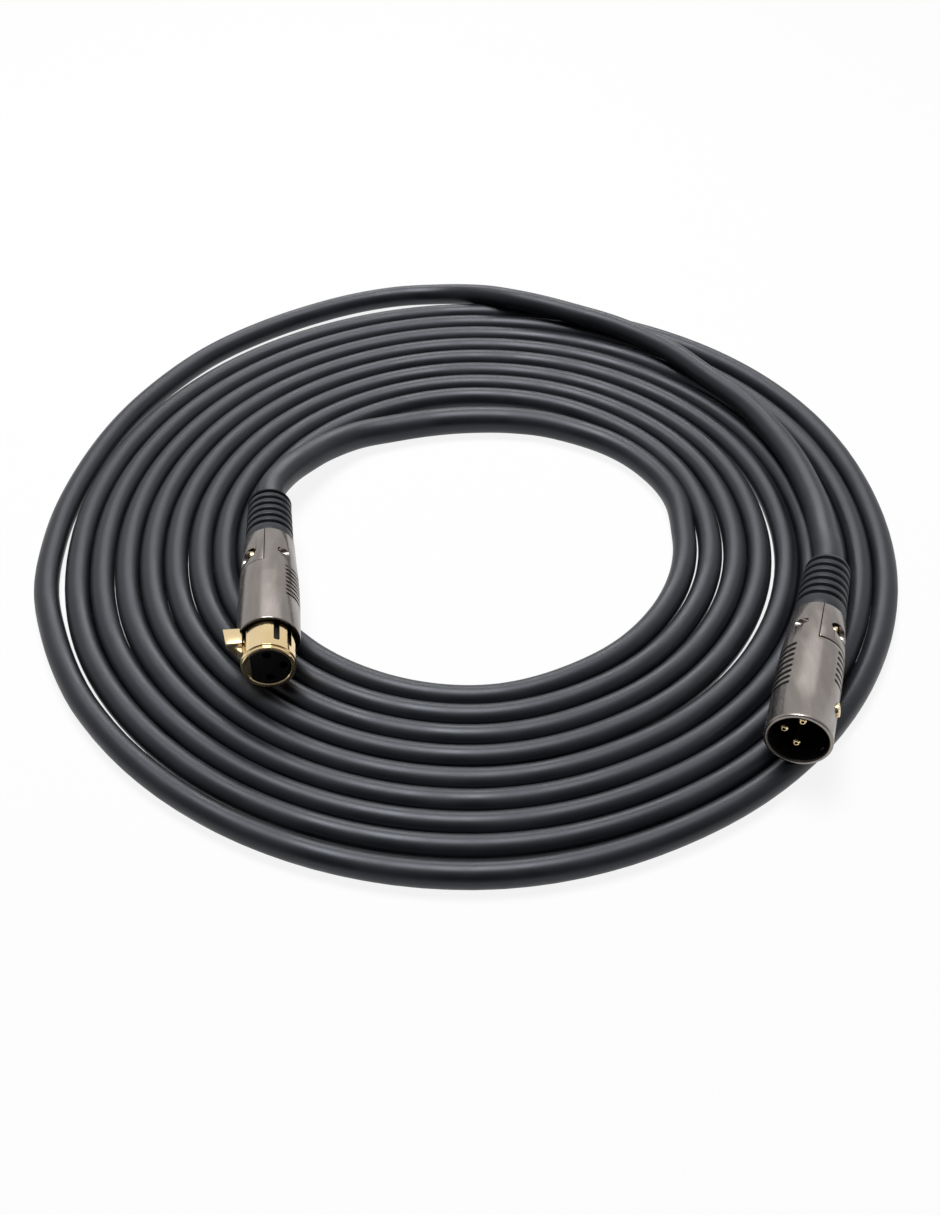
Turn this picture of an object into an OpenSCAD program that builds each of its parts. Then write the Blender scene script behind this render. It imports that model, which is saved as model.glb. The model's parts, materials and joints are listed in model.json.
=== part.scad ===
// Coiled microphone lead with a three-pin male and a three-socket female XLR connector.
// Millimetres, +Z up. The lead lies on z = 0 and the origin is under the middle of its box.
// Each connector is drawn in a frame of its own: z runs back from its front face along
// the axis, y is up and x is to the left of someone facing its front.

/* [Cable] */
// Diameter of the cable's jacket (mm)
cable_d = 7.5; // [7.3:0.1:7.6]
// Closed rings that stand for the turns of the coil
coil_rings = 8; // [6:1:8]
// How much wider than the cable one turn's pitch is (mm)
turn_gap = 0.19; // [0.05:0.01:0.2]
// Extra jacket radius where a lead enters its boot (mm)
lead_swell = 0.9; // [0:0.05:1]

/* [Shells] */
// Depth of the finger-grip grooves (mm)
grip_depth = 0.4; // [0.2:0.05:0.5]
// Width of a finger-grip groove at the surface (mm)
grip_width = 1.0; // [0.6:0.1:1.2]
// Grip grooves on the fuller side of the male shell
male_grips = 8; // [5:1:8]
// Grip grooves on the fuller side of the female shell
female_grips = 8; // [5:1:8]
// Gap in front of the male clamp cover (mm)
male_gap = 0.55; // [0.3:0.05:0.6]
// Gap in front of the female clamp cover (mm)
female_gap = 0.16; // [0.1:0.02:0.2]

/* [Contacts] */
// Radius of the circle the three contacts stand on (mm)
contact_circle = 4.2; // [4.1:0.1:4.4]
// Radius of a male pin (mm)
pin_r = 1.2; // [1.15:0.01:1.2]
// Radius of the hole in a female contact (mm)
socket_r = 1.23; // [1.22:0.01:1.26]

/* [Latch] */
// How far the latch pad stands out from the connector's axis (mm)
pad_reach = 12.4; // [11.4:0.1:12.6]
// Width of the latch pad (mm)
pad_width = 8.8; // [7.0:0.2:9.0]

/* [Boots] */
// Depth of the boots' flexing grooves (mm)
boot_groove_depth = 1.3; // [0.8:0.1:1.5]
// Width of a flexing groove (mm)
boot_groove_width = 1.5; // [1.0:0.1:1.7]

/* [View] */
// Which node to build

/* [Hidden] */
$fn = 96;

cable_r = cable_d / 2;
turn_pitch = cable_d + turn_gap;
inner_ring_r = 72.1;                  // centre line of the innermost closed ring
coil_at = [4.0, -6.9];                // middle of the coil
far = 60;

// Where each connector's front face is, how far it is turned from facing -Y and how far
// its front is tipped up (degrees)
male_at = [91.0, -106.4, 17.5];
male_turn = -16.06;
male_tilt = 1.5;
female_at = [-53.7, -80.2, 18.25];
female_turn = 5.4;
female_tilt = 3.0;

// Distances back from the male connector's front face
male_pin_tip = 2.9;
male_face = 15.5;
male_step = 24;
male_cup_end = 31.5;
male_jacket = 35.5;
male_jaws = 39.8;
male_seam_s = 33.2;
male_end = 48.6;
male_boot_end = 73;

// Distances back from the female connector's front face
female_face = 0.7;
female_rim = 11.2;
female_step = 24;
female_cup_end = 30.5;
female_jacket = 37.5;
female_jaws = 43.7;
female_seam_s = 38.4;
female_end = 54.2;
female_boot_end = 76.5;

// Clock angles, seen from the front: 0 is up and +90 is the connector's +x side
male_pin3_clock = 87;
female_pin3_clock = -88;
male_seam_clock = -3.5;
female_seam_clock = 6;

shell_bore = 8.1;          // male socket that takes the female nose
rear_bore = 6.7;
nose_r = 7.9;
nose_land = 3.7;           // the nose is full size up to here, then a little slimmer
shank_r = 1.4;             // contacts, inside and behind the inserts
nose_in_r = 6.35;
female_bore = 7.95;
flat_x = 4.85;             // flat on the female insert, beside the latch channel
web_x = 5.25;              // floor of the latch channel
pivot_x = 6.35;
pivot_s = 21.5;
jaw_y = 5.0;               // the clamp screws pass above and below the cable
male_grip_pitch = 2.27;
female_grip_pitch = 1.83;
inner_lead_hold = 100;     // the inner lead keeps its full girth this far from its boot

// Outline of each shell as [radius, distance from the front]
male_outline = [[9.0, 0], [9.4, 0.4], [9.4, 1.1], [9.25, 1.4], [9.3, 14], [9.2, 26],
                [9.0, 33], [8.6, 38.5], [8.1, 44], [7.75, male_end]];
female_outline = [[8.95, female_rim], [9.15, female_rim + 0.3], [9.15, 26], [9.0, 33],
                  [8.75, 38.4], [8.3, 44.5], [7.7, female_end]];

function lerp(a, b, t) = a + (b - a) * t;
function outline_r(o, s, i = 0) =
    i >= len(o) - 2 || s <= o[i + 1][1]
    ? lerp(o[i][0], o[i + 1][0], (s - o[i][1]) / (o[i + 1][1] - o[i][1]))
    : outline_r(o, s, i + 1);

// ---- placing ----
module on_male() translate(male_at) rotate([90 + male_tilt, 0, 180 + male_turn]) children();
module on_female() translate(female_at) rotate([90 + female_tilt, 0, 180 + female_turn]) children();
// Turns +x of what follows to a clock angle
module at_clock(a) rotate([0, 0, 90 - a]) children();
// A cylinder whose axis runs out from the connector's axis at a clock angle
module radial(a, s, r, from, to) at_clock(a) translate([from, 0, s]) rotate([0, 90, 0])
    cylinder(r = r, h = to - from);
// A box from one corner to the opposite one
module block(lo, hi) translate(lo) cube(hi - lo);

// ---- cable ----
// Centre lines as [x, y, z], from the boot outwards
outer_route = [[113.3, -16.8, 13.5], [113.3, 1.2, 12.1], [109.0, 26.2, 11.5], [98.9, 51.6, 11.4],
               [86.3, 69.7, 11.4], [73.5, 86.6, 11.4], [56.6, 100.5, 11.4], [40.2, 109.5, 11.4],
               [29.6, 114.5, 11.5], [19.4, 118.9, 11.2], [7.7, 125.3, 9.1], [-8.1, 132.0, 5.2],
               [-28.1, 131.8, 3.9], [-50.1, 123.8, 3.85], [-75.1, 108.5, 3.8], [-96.5, 88.2, 3.8],
               [-115.2, 57.7, 3.8], [-126.0, 24.5, 3.8], [-129.9, -9.6, 3.8],
               [-125.4, -43.6, 3.8], [-112.1, -72.7, 3.8]];
inner_route = [[-61.0, 4.8, 13.3], [-57.3, 15.2, 11.7], [-51.7, 24.8, 9.8], [-45.4, 33.8, 7.7],
               [-35.8, 42.4, 5.8], [-24.6, 47.4, 5.0], [-11.8, 51.3, 4.75], [2.0, 53.4, 4.7],
               [17.6, 53.2, 4.7], [32.6, 49.7, 4.6]];

function unit(v) = v / norm(v);
function hermite(a, b, ta, tb, t) =
    (2 * t * t * t - 3 * t * t + 1) * a + (t * t * t - 2 * t * t + t) * ta
    + (-2 * t * t * t + 3 * t * t) * b + (t * t * t - t * t) * tb;
// Tangent at point i of a route whose first point leaves along `out`
function route_tangent(p, i, out) =
    i == 0 ? out * norm(p[1] - p[0])
    : i == len(p) - 1 ? p[i] - p[i - 1]
    : (p[i + 1] - p[i - 1]) / 2;
// The route with `n` rings to each span
function fine_route(p, out, n) =
    [for (i = [0:len(p) - 2], k = [0:n - 1])
        hermite(p[i], p[i + 1], route_tangent(p, i, out), route_tangent(p, i + 1, out), k / n),
     p[len(p) - 1]];
// Jacket radius at a distance along the lead, past the stretch that keeps its full girth
function lead_r(d) = cable_r + lead_swell * min(1, max(0, 1 - d / 110));
function run_length(c, i) = i == 0 ? 0 : norm(c[i] - c[i - 1]) + run_length(c, i - 1);

// A tube with one 12-sided ring at each centre
module tube(c, out, hold = 0) {
    sides = 12;
    n = len(c);
    dir = [for (i = [0:n - 1]) i == 0 ? out : i == n - 1 ? unit(c[i] - c[i - 1])
                                                         : unit(c[i + 1] - c[i - 1])];
    pts = [for (i = [0:n - 1])
             let (side = unit(cross(dir[i], [0, 0, 1])), up = cross(side, dir[i]),
                  r = lead_r(run_length(c, i) - hold))
             for (k = [0:sides - 1]) let (a = 360 * k / sides - 90)
                 c[i] + r * (cos(a) * side + sin(a) * up)];
    skin = [for (i = [0:n - 2], k = [0:sides - 1])
              let (a = i * sides + k, b = i * sides + (k + 1) % sides)
              for (f = [[a, b, a + sides], [b, b + sides, a + sides]]) f];
    cap0 = [for (k = [0:sides - 1]) sides - 1 - k];
    cap1 = [for (k = [0:sides - 1]) (n - 1) * sides + k];
    polyhedron(points = pts, faces = concat(skin, [cap0, cap1]), convexity = 8);
}

male_back = [-sin(male_turn) * cos(male_tilt), cos(male_turn) * cos(male_tilt), -sin(male_tilt)];
female_back = [-sin(female_turn) * cos(female_tilt), cos(female_turn) * cos(female_tilt),
               -sin(female_tilt)];

module cable_coil() color([0.09, 0.09, 0.1]) translate([coil_at[0], coil_at[1], cable_r])
    rotate_extrude() {
        for (k = [0:coil_rings - 1]) translate([inner_ring_r + k * turn_pitch, 0])
            circle(d = cable_d, $fn = 48);
        translate([inner_ring_r, -cable_r * 0.45])
            square([(coil_rings - 1) * turn_pitch, cable_r * 0.9]);
    }

module cable_outer_lead() color([0.09, 0.09, 0.1])
    tube(fine_route(concat([male_at + male_boot_end * male_back], outer_route), male_back, 2),
         male_back);

module cable_inner_lead() color([0.09, 0.09, 0.1])
    tube(fine_route(concat([female_at + female_boot_end * female_back], inner_route), female_back, 1),
         female_back, inner_lead_hold);

// ---- shared pieces ----
// Grip grooves: short arcs across one side of a shell, the first one nearest the front
module grips(outline, first, pitch, count, from_clock, to_clock)
    for (i = [0:count - 1]) let (s = first + i * pitch, r = outline_r(outline, s),
                                 w = grip_width / 2 + 0.6 * (grip_width / 2 - 0.1) / grip_depth)
        rotate([0, 0, 90 - to_clock]) rotate_extrude(angle = to_clock - from_clock)
            polygon([[r - grip_depth, s - 0.1], [r - grip_depth, s + 0.1],
                     [r + 0.6, s + w], [r + 0.6, s - w]]);

// The rear wall of a shell, between two distances, as a half ring
module rear_wall(outline, s0, s1, start, sweep, extra = 0)
    rotate([0, 0, start]) rotate_extrude(angle = sweep)
        polygon(concat([[rear_bore - extra, s0], [outline_r(outline, s0) + extra, s0]],
                       [for (p = outline) if (p[1] > s0 + 0.5 && p[1] < s1 - 0.5)
                           [p[0] + extra, p[1]]],
                       [[outline_r(outline, s1) + extra, s1], [rear_bore - extra, s1]]));

// Round openings above and below: wide ones over the clamp screws' heads, on the side
// that `side` (+1 or -1) names, and small ones across from them
module clamp_ports(s, side) for (y = [-1, 1]) {
    translate([0, y * jaw_y, s]) rotate([0, 90 * side, 0]) translate([0, 0, 3.3])
        cylinder(r = 2.7, h = 9);
    translate([0, y * (jaw_y + 1.6), s]) rotate([0, -90 * side, 0]) translate([0, 0, 3.3])
        cylinder(r = 1.4, h = 9);
}

// Two saddles that close on the cable
module jaws(s) difference() {
    intersection() {
        cylinder(r = rear_bore - 0.1, h = far);
        union() for (x = [-3.9, 0.3]) block([x, -6.6, s - 2.6], [x + 3.6, 6.6, s + 2.6]);
    }
    cylinder(r = cable_r, h = far + 1);
    for (y = [-jaw_y, jaw_y]) translate([0, y, s]) rotate([0, 90, 0])
        cylinder(r = 0.8, h = 20, center = true);
}

// Clamp screws; `side` is +1 or -1, the side that the heads are on
module clamp_screws(s, side) for (y = [-jaw_y, jaw_y]) translate([0, y, s])
    rotate([0, 90 * side, 0]) difference() {
        union() {
            translate([0, 0, -3.9]) cylinder(r = 0.8, h = 7.9);
            translate([0, 0, 3.9]) cylinder(r = 1.8, h = 1.3);
        }
        translate([-2, -0.25, 4.75]) cube([4, 0.5, 1]);
    }

// An insulated core: out of the jacket, across, and into a contact's cup
module core(clock, jacket_s, cup_end, depth) at_clock(clock) {
    near = [1.5, 0, jacket_s - 1.0];
    there = [contact_circle, 0, cup_end + 1.0];
    translate(near) cylinder(r = 0.65, h = 1.0, $fn = 32);
    translate(near) sphere(r = 0.78, $fn = 32);
    translate(there) rotate([0, atan2(near[0] - there[0], near[2] - there[2]), 0])
        cylinder(r = 0.6, h = norm(near - there), $fn = 32);
    translate(there) sphere(r = 0.78, $fn = 32);
    translate([contact_circle, 0, cup_end - depth]) cylinder(r = 0.65, h = depth + 1.0, $fn = 32);
}

// Boot outline as [radius, distance], with a flexing groove at each pitch
module boot(s_in, s0, r0, groove0, pitch, s_end) {
    function r_at(s) = lerp(r0, 6.8, (s - s0) / (s_end - 1.5 - s0));
    w = boot_groove_width / 2;
    rotate_extrude() polygon(concat(
        [[cable_r, s_in], [6.35, s_in], [6.65, s_in + 0.4], [6.65, s0], [r0, s0]],
        [for (i = [0:5]) let (c = groove0 + i * pitch)
            for (p = [[r_at(c - w), c - w], [r_at(c) - boot_groove_depth, c - w * 0.7],
                      [r_at(c) - boot_groove_depth, c + w * 0.7], [r_at(c + w), c + w]]) p],
        [[6.75, s_end - 1.4], [6.4, s_end - 0.5], [5.7, s_end], [cable_r, s_end]]));
}

// ---- male connector ----
module male_shell() color([0.53, 0.51, 0.49]) on_male() difference() {
    rotate_extrude() polygon(concat(
        [[8.35, 0]], male_outline,
        [[rear_bore, male_end], [rear_bore, male_step], [shell_bore, male_step],
         [shell_bore, 0.3]]));
    rear_wall(male_outline, male_seam_s - male_gap, male_end + 1, 90 - male_seam_clock - 1.2, 182.4, 0.5);
    grips(male_outline, 14.0, male_grip_pitch, male_grips, 36, 148);
    grips(male_outline, 19.4, male_grip_pitch, male_grips - 2, -150, -46);
    clamp_ports(male_jaws, -1);
    radial(-75, 12, 1.0, 5, 12);
    radial(-75, 12, 2.05, 8.85, 12);
    // catch for the mating connector's latch
    at_clock(-93) block([7.9, -1.8, 4.2], [8.75, 1.8, 7.4]);
}

// Rib that lines the mating connector up
module key_rib() at_clock(-116) block([7.3, -0.8, 2.0], [8.3, 0.8, male_face + 1]);

module male_clamp_cover() color([0.55, 0.53, 0.51]) on_male() difference() {
    rear_wall(male_outline, male_seam_s, male_end, 90 - male_seam_clock, 180);
    clamp_ports(male_jaws, -1);
}

module male_clamp_jaws() color([0.62, 0.62, 0.6]) on_male() jaws(male_jaws);
module male_clamp_screws() color([0.86, 0.72, 0.42]) on_male() clamp_screws(male_jaws, -1);

module male_insert() color([0.04, 0.04, 0.045]) on_male() difference() {
    union() {
        translate([0, 0, male_face]) cylinder(r = 8.05, h = male_step - male_face);
        translate([0, 0, male_step]) cylinder(r = 6.3, h = 3);
        intersection() {
            difference() {
                cylinder(r = 8.05, h = far);
                cylinder(r = 6.8, h = far);
            }
            at_clock(-75) block([5, -2.1, 9.6], [9, 2.1, male_face + 1]);
        }
        intersection() {
            cylinder(r = 8.05, h = far);
            key_rib();
        }
    }
    for (i = [0, 90, -90]) at_clock(male_pin3_clock + i) translate([contact_circle, 0, 0])
        cylinder(r = shank_r, h = far, $fn = 48);
    radial(-75, 12, 1.0, 5, 12);
}

// Screw that holds the insert and earths the shell
module male_key_screw() color([0.86, 0.72, 0.42]) on_male() difference() {
    union() {
        radial(-75, 12, 1.0, 6.9, 8.85);
        radial(-75, 12, 2.0, 8.85, 9.7);
    }
    at_clock(-75) block([9.3, -0.25, 9], [11, 0.25, 15]);
}

// One pin: round nose, shank and solder cup
module pin(clock) color([0.88, 0.74, 0.45]) on_male() at_clock(clock)
    translate([contact_circle, 0, 0]) difference() {
        rotate_extrude($fn = 48) polygon([[0, male_pin_tip], [pin_r - 0.45, male_pin_tip],
            [pin_r - 0.12, male_pin_tip + 0.25], [pin_r, male_pin_tip + 0.6], [pin_r, male_face],
            [shank_r, male_face], [shank_r, male_cup_end], [0, male_cup_end]]);
        translate([0, 0, male_pin_tip - 0.01]) cylinder(r1 = 0.52, r2 = 0.3, h = 0.8, $fn = 32);
        translate([0, 0, male_cup_end - 2.8]) cylinder(r = 0.65, h = 4, $fn = 32);
    }
module male_pin_1() pin(male_pin3_clock - 90);
module male_pin_2() pin(male_pin3_clock + 90);
module male_pin_3() pin(male_pin3_clock);

// Solder lug that joins the shield to the shell
module ground_lug(s, clock) at_clock(clock) difference() {
    union() {
        translate([contact_circle, 0, s]) cylinder(r = 1.9, h = 0.5, $fn = 48);
        block([contact_circle, -1.1, s], [6.55, 1.1, s + 0.5]);
        block([6.1, -1.1, s], [6.55, 1.1, s + 5]);
    }
    translate([contact_circle, 0, s - 1]) cylinder(r = shank_r, h = 3, $fn = 48);
}
module male_ground_lug() color([0.75, 0.73, 0.68]) on_male()
    ground_lug(male_step + 3, male_pin3_clock - 90);

module male_boot() color([0.07, 0.07, 0.075]) on_male()
    boot(44.6, male_end, 7.6, 53.9, 3.3, male_boot_end);
module male_cable_end() color([0.09, 0.09, 0.1]) on_male() translate([0, 0, male_jacket])
    cylinder(r = cable_r, h = male_boot_end - male_jacket);
module male_wire_hot() color([0.7, 0.1, 0.08]) on_male()
    core(male_pin3_clock + 90, male_jacket, male_cup_end, 2.8);
module male_wire_cold() color([0.85, 0.85, 0.83]) on_male()
    core(male_pin3_clock, male_jacket, male_cup_end, 2.8);
module male_wire_shield() color([0.72, 0.45, 0.3]) on_male()
    core(male_pin3_clock - 90, male_jacket, male_cup_end, 2.8);

// ---- female connector ----
module female_shell() color([0.53, 0.51, 0.49]) on_female() difference() {
    rotate_extrude() polygon(concat(
        female_outline,
        [[rear_bore, female_end], [rear_bore, female_step], [female_bore, female_step],
         [female_bore, female_rim + 0.4], [8.3, female_rim]]));
    rear_wall(female_outline, female_seam_s - female_gap, female_end + 1,
              90 - female_seam_clock - 181.2, 182.4, 0.5);
    grips(female_outline, 23.9, female_grip_pitch, female_grips, -148, -38);
    grips(female_outline, 30.2, female_grip_pitch, female_grips - 3, 55, 148);
    clamp_ports(female_jaws, 1);
    radial(180, 17, 1.2, 5, 12);
    // the latch pad stands in this notch
    block([5, -4.9, female_rim - 1], [12, 4.9, female_rim + 1.6]);
}

module female_clamp_cover() color([0.55, 0.53, 0.51]) on_female() difference() {
    rear_wall(female_outline, female_seam_s, female_end, 90 - female_seam_clock - 180, 180);
    clamp_ports(female_jaws, 1);
}
module female_clamp_jaws() color([0.62, 0.62, 0.6]) on_female() jaws(female_jaws);
module female_clamp_screws() color([0.86, 0.72, 0.42]) on_female() clamp_screws(female_jaws, 1);

// Plated nose: a tube with a beaded front, two spring slots and the latch's channel
module female_nose_ring() color([0.88, 0.76, 0.5]) on_female() difference() {
    union() {
        difference() {
            union() {
                rotate_extrude() polygon([[nose_in_r, 0.25], [6.6, 0], [7.35, 0], [7.6, 0.2], [7.6, 0.8],
                    [7.3, 0.95], [7.3, 1.2], [7.75, 1.3], [nose_r, 1.45], [nose_r, nose_land],
                    [nose_r - 0.18, nose_land], [nose_r - 0.18, female_step],
                    [nose_in_r, female_step]]);
                intersection() {
                    translate([0, 0, 0.5]) cylinder(r = 7.4, h = female_step - 0.5);
                    block([4.9, -8, 0], [9, 8, far]);
                }
            }
            block([web_x, -4.9, 5.9], [10, 4.9, far]);
            block([web_x, -2.5, 3.9], [10, 2.5, 7]);
            for (a = [-22, -55]) at_clock(a) {
                block([6, -0.85, 4.6], [9, 0.85, 16]);
                translate([6, 0, 4.6]) rotate([0, 90, 0]) cylinder(r = 0.85, h = 3, $fn = 32);
            }
        }
        for (y = [-3.7, 2.7]) block([4.9, y, 19.9], [7.0, y + 1.0, 23.1]);
    }
    translate([pivot_x, 0, pivot_s]) rotate([90, 0, 0]) cylinder(r = 0.5, h = 20, center = true, $fn = 32);
    radial(180, 17, 1.2, 5, 12);
}

module female_insert() color([0.04, 0.04, 0.045]) on_female() difference() {
    union() {
        rotate_extrude() polygon([[0, female_face], [6.0, female_face], [6.3, female_face + 0.3],
                                  [6.3, female_step + 1], [0, female_step + 1]]);
    }
    block([flat_x, -9, 0], [9, 9, far]);
    for (i = [0, 90, -90]) at_clock(female_pin3_clock + i) translate([contact_circle, 0, 0]) {
        cylinder(r = socket_r, h = 5, $fn = 48);
        translate([0, 0, 4.4]) cylinder(r = 1.75, h = 17.6, $fn = 48);
        translate([0, 0, 21]) cylinder(r = shank_r, h = 9, $fn = 48);
    }
    radial(180, 17, 1.2, 6.1, 12);
}

module female_insert_screw() color([0.86, 0.72, 0.42]) on_female() difference() {
    radial(180, 17, 1.2, 6.1, 9.1);
    at_clock(180) block([8.6, -0.25, 15], [10, 0.25, 19]);
}

// One socket: a tube for the pin, a tail and a solder cup
module contact(clock) color([0.88, 0.74, 0.45]) on_female() at_clock(clock)
    translate([contact_circle, 0, 0]) difference() {
        union() {
            translate([0, 0, 4.4]) cylinder(r = 1.75, h = 17.6, $fn = 48);
            translate([0, 0, 21]) cylinder(r = shank_r, h = female_cup_end - 21, $fn = 48);
        }
        translate([0, 0, 4]) cylinder(r = socket_r, h = 15, $fn = 48);
        translate([0, 0, female_cup_end - 2.8]) cylinder(r = 0.65, h = 4, $fn = 32);
    }
module female_contact_1() contact(female_pin3_clock + 90);
module female_contact_2() contact(female_pin3_clock - 90);
module female_contact_3() contact(female_pin3_clock);
module female_ground_lug() color([0.75, 0.73, 0.68]) on_female()
    ground_lug(female_step + 1, female_pin3_clock + 90);

module female_boot() color([0.07, 0.07, 0.075]) on_female()
    boot(49.0, female_end, 7.5, 58.4, 3.2, female_boot_end);
module female_cable_end() color([0.09, 0.09, 0.1]) on_female() translate([0, 0, female_jacket])
    cylinder(r = cable_r, h = female_boot_end - female_jacket);
module female_wire_hot() color([0.7, 0.1, 0.08]) on_female()
    core(female_pin3_clock - 90, female_jacket, female_cup_end, 2.8);
module female_wire_cold() color([0.85, 0.85, 0.83]) on_female()
    core(female_pin3_clock, female_jacket, female_cup_end, 2.8);
module female_wire_shield() color([0.72, 0.45, 0.3]) on_female()
    core(female_pin3_clock + 90, female_jacket, female_cup_end, 2.8);

// ---- latch ----
// Lever: a pad that the thumb presses, a hook in front of it and an arm back to the pivot
module latch_lever() color([0.88, 0.76, 0.5]) on_female() difference() {
    union() {
        translate([0, pad_width / 2, 0]) rotate([90, 0, 0]) linear_extrude(pad_width)
            polygon([[7.05, 6.5], [pad_reach - 0.6, 6.5], [pad_reach, 7.1], [pad_reach, 11.5],
                     [pad_reach - 0.5, 11.9], [7.05, 11.9]]);
        translate([0, 2, 0]) rotate([90, 0, 0]) linear_extrude(4)
            polygon([[7.05, 7], [7.05, 4.5], [7.35, 4.5], [8.6, 6.5], [8.6, 7]]);
        block([6.55, -2.2, 9], [7.3, 2.2, 19.5]);
        block([6.0, -1.3, 19], [7.0, 1.3, pivot_s]);
        translate([pivot_x, 0, pivot_s]) rotate([90, 0, 0])
            cylinder(r = 0.8, h = 2.6, center = true, $fn = 48);
    }
    translate([pivot_x, 0, pivot_s]) rotate([90, 0, 0])
        cylinder(r = 0.55, h = 10, center = true, $fn = 32);
}

module latch_pivot_pin() color([0.7, 0.7, 0.7]) on_female() translate([pivot_x, 0, pivot_s])
    rotate([90, 0, 0]) cylinder(r = 0.5, h = 7.2, center = true, $fn = 32);

// Torsion spring beside the lever's eye, its leg lying on the channel's floor
module latch_spring() color([0.7, 0.7, 0.7]) on_female() {
    translate([pivot_x, 0, pivot_s]) rotate([-90, 0, 0]) rotate_extrude($fn = 48)
        polygon([[0.58, 1.5], [0.9, 1.5], [1.0, 1.65], [0.9, 1.8], [1.0, 1.95], [0.9, 2.1],
                 [1.0, 2.25], [0.9, 2.4], [0.58, 2.4]]);
    translate([5.42, 1.65, 16]) cylinder(r = 0.12, h = 5.2, $fn = 24);
}

cable_coil();
cable_outer_lead();
cable_inner_lead();
male_shell();
male_clamp_cover();
male_clamp_jaws();
male_clamp_screws();
male_insert();
male_key_screw();
male_ground_lug();
male_pin_1();
male_pin_2();
male_pin_3();
male_boot();
male_cable_end();
male_wire_hot();
male_wire_cold();
male_wire_shield();
female_shell();
female_nose_ring();
female_insert();
female_insert_screw();
female_contact_1();
female_contact_2();
female_contact_3();
female_ground_lug();
female_clamp_cover();
female_clamp_jaws();
female_clamp_screws();
female_boot();
female_cable_end();
female_wire_hot();
female_wire_cold();
female_wire_shield();
latch_lever();
latch_pivot_pin();
latch_spring();
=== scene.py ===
"""Coiled microphone lead with its two connectors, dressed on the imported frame.

The lead is one swept tube. The connectors' visible housings are turned and cut here with
their fine edges, and the other nodes keep their own shape and take a finish.
"""

import json
import logging
from collections.abc import Callable
from dataclasses import dataclass, field
from enum import Enum
from math import atan2, cos, degrees, pi, radians, sin

import bpy
from mathutils import Euler, Matrix, Vector


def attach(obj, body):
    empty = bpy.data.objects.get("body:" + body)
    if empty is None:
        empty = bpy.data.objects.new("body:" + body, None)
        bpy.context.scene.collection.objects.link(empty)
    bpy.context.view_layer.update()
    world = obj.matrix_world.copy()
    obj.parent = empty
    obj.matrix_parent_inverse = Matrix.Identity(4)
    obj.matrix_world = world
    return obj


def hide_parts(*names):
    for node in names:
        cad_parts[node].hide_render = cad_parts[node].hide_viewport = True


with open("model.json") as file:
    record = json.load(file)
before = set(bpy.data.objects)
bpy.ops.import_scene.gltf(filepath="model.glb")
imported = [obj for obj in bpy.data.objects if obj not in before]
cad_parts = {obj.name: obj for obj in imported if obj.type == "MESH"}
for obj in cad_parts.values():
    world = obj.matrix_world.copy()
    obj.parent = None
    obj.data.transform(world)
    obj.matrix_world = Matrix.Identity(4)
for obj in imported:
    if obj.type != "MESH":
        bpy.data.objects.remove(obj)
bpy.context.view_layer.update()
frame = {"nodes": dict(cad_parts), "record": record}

LOG = logging.getLogger("microphone_lead")
MM = 0.001
Item = bpy.types.Object
Colour = tuple[float, float, float]
Point = tuple[float, float, float]
Pair = tuple[float, float]
# A corner of an outline that is turned: its distance from the axis and from the front
Ring = Pair

# Corners nearer than this, in millimetres, become one
MERGE = 0.002
# Least angle of an edge that is rounded, and of one not shaded smooth, in degrees
SHARP = 35.0
UNSMOOTH = 40.0
# Greatest angle between faces that count as one flat face, in degrees
FLAT = 0.5
# Steps of a full turn, of a half one and of a boot, and sides of a round cutter
FULL_STEPS, HALF_STEPS, BOOT_STEPS = 144, 72, 96
ROUND_SIDES = 48
# A distance from a connector's axis, in millimetres, that is outside both shells
OUTSIDE = 12.0
# Places of the painted-shade materials among a piece's materials: shade in bores, seams and pin
# dimples, and shade in the grip grooves
RECESS_SHADE_INDEX = 1
GROOVE_SHADE_INDEX = 2


class Body(Enum):
    """The frame's bodies that a piece can ride on."""

    LEAD = "lead"
    LATCH = "latch"


class Slot(Enum):
    """The record's material slots."""

    JACKET = "jacket"
    BOOT = "boot"
    SHELL = "shell"
    GILT = "gilt"
    INSULATOR = "insulator"
    STEEL = "steel"
    TIN = "tin"
    CORE_RED = "core_red"
    CORE_WHITE = "core_white"
    COPPER = "copper"


# ---- finishes ----


def put(node: bpy.types.Node, values: dict[str, object]) -> bpy.types.Node:
    """Sets a node's inputs and returns it. Args: the node, and each input's value."""
    for label, value in values.items():
        node.inputs[label].default_value = value
    return node


def new_node(
    tree: bpy.types.NodeTree, kind: str, values: dict[str, object] | None = None
) -> bpy.types.Node:
    """Adds a shader node to a tree. Args: the tree, the kind, and each input's value."""
    return put(tree.nodes.new("ShaderNode" + kind), values or {})


PATCH_DETAIL = 3.0
PATCH_LOW, PATCH_HIGH = 0.35, 0.65
GRAIN_DETAIL = 2.0
GRAIN_ROUGHNESS = 0.65


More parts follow.
